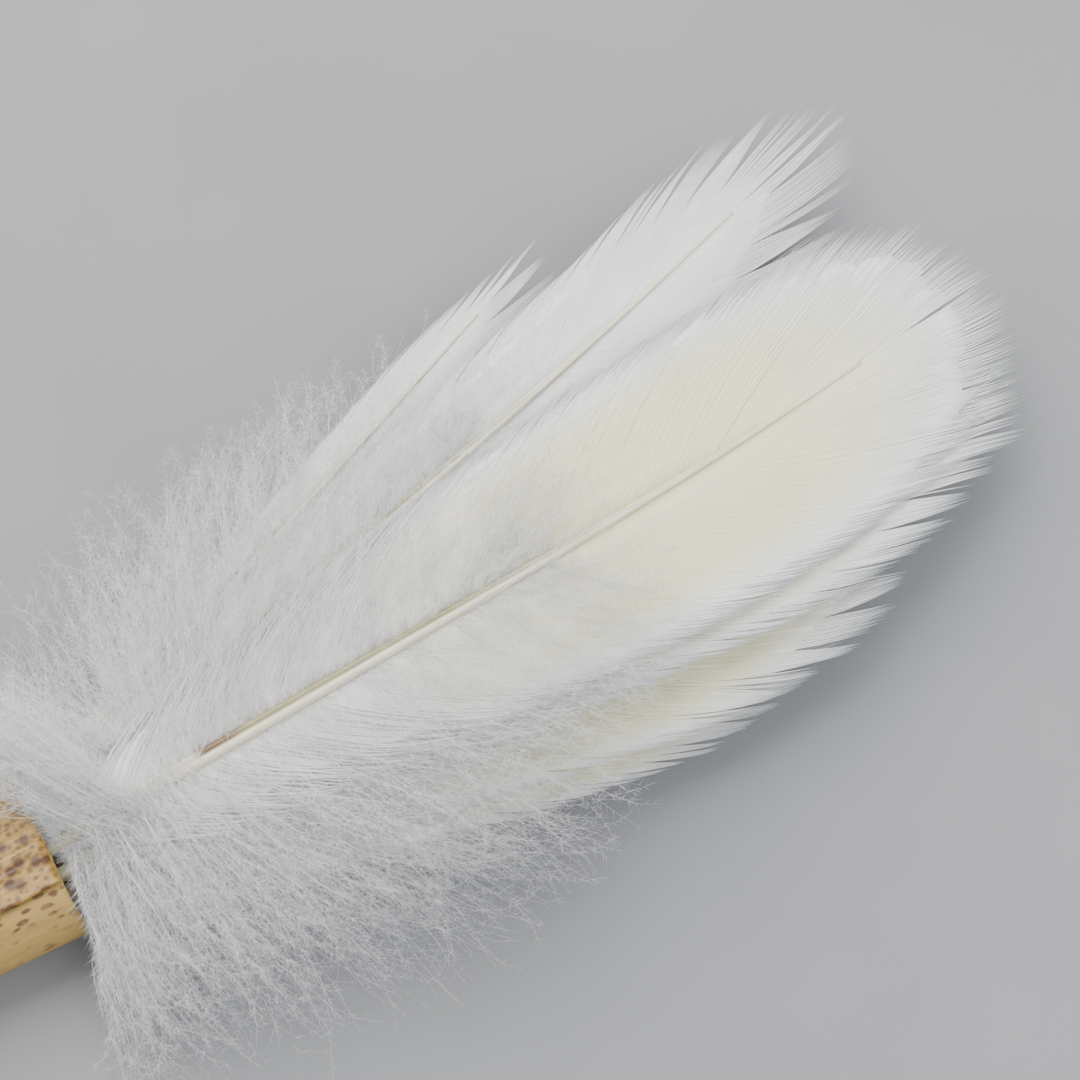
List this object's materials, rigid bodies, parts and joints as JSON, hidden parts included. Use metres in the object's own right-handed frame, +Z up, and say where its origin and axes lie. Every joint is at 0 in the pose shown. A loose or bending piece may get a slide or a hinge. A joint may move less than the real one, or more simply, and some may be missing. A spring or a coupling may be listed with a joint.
{
  "type": "feather hand brush",
  "caption": "Hand brush: a flat fan of white body feathers with fluffy down, its quills bound into an oval handle wrapped in mottled bamboo sheath.",
  "frame": {"origin": "middle of the handle's flat underside, on which the brush lies", "axes": "+X from the handle's tail to the feather tips, +Y to the brush's left, +Z up out of the front feather"},
  "size_m": [0.2685, 0.0901, 0.0231],
  "materials": {
    "spotted_sheath": "satin, mottled with brown spots",
    "plain_sheath": "satin, fine lengthwise fibres",
    "core_wood": "sawn end grain",
    "packing_paper": "matte, fibrous",
    "binding_cord": "twisted cord, matte",
    "quill_thread": "wound thread, matte",
    "feather_quill": "horn, smooth and slightly translucent",
    "feather_shaft": "horn, smooth, grooved",
    "feather_vane": "soft web of fine barbs",
    "feather_down": "loose fine down"
  },
  "bodies": {
    "handle": {"outer_sheath": "spotted_sheath", "inner_sheath": "plain_sheath", "handle_core": "core_wood", "paper_packing": "packing_paper", "front_binding": "binding_cord", "rear_binding": "binding_cord", "quill_thread_front": "quill_thread", "quill_thread_rear": "quill_thread", "top_feather_quill": "feather_quill", "left_feather_quill": "feather_quill", "right_feather_quill": "feather_quill", "far_left_feather_quill": "feather_quill", "lower_right_feather_quill": "feather_quill", "far_right_feather_quill": "feather_quill", "back_feather_quill": "feather_quill"},
    "tuft": {"top_feather_shaft": "feather_shaft", "left_feather_shaft": "feather_shaft", "right_feather_shaft": "feather_shaft", "far_left_feather_shaft": "feather_shaft", "lower_right_feather_shaft": "feather_shaft", "far_right_feather_shaft": "feather_shaft", "back_feather_shaft": "feather_shaft", "top_feather_vane": "feather_vane", "left_feather_vane": "feather_vane", "right_feather_vane": "feather_vane", "far_left_feather_vane": "feather_vane", "lower_right_feather_vane": "feather_vane", "far_right_feather_vane": "feather_vane", "back_feather_vane": "feather_vane", "top_feather_down": "feather_down", "left_feather_down": "feather_down", "right_feather_down": "feather_down", "far_left_feather_down": "feather_down", "lower_right_feather_down": "feather_down", "far_right_feather_down": "feather_down", "back_feather_down": "feather_down"}
  },
  "joints": [
    {"name": "feather_flex", "type": "hinge", "parent": "handle", "child": "tuft", "pos_m": [0.0625, 0, 0.007], "axis": [0, -1, 0], "range_deg": [-30, 30], "stiffness_Nm_per_rad": 0.25}
  ]
}
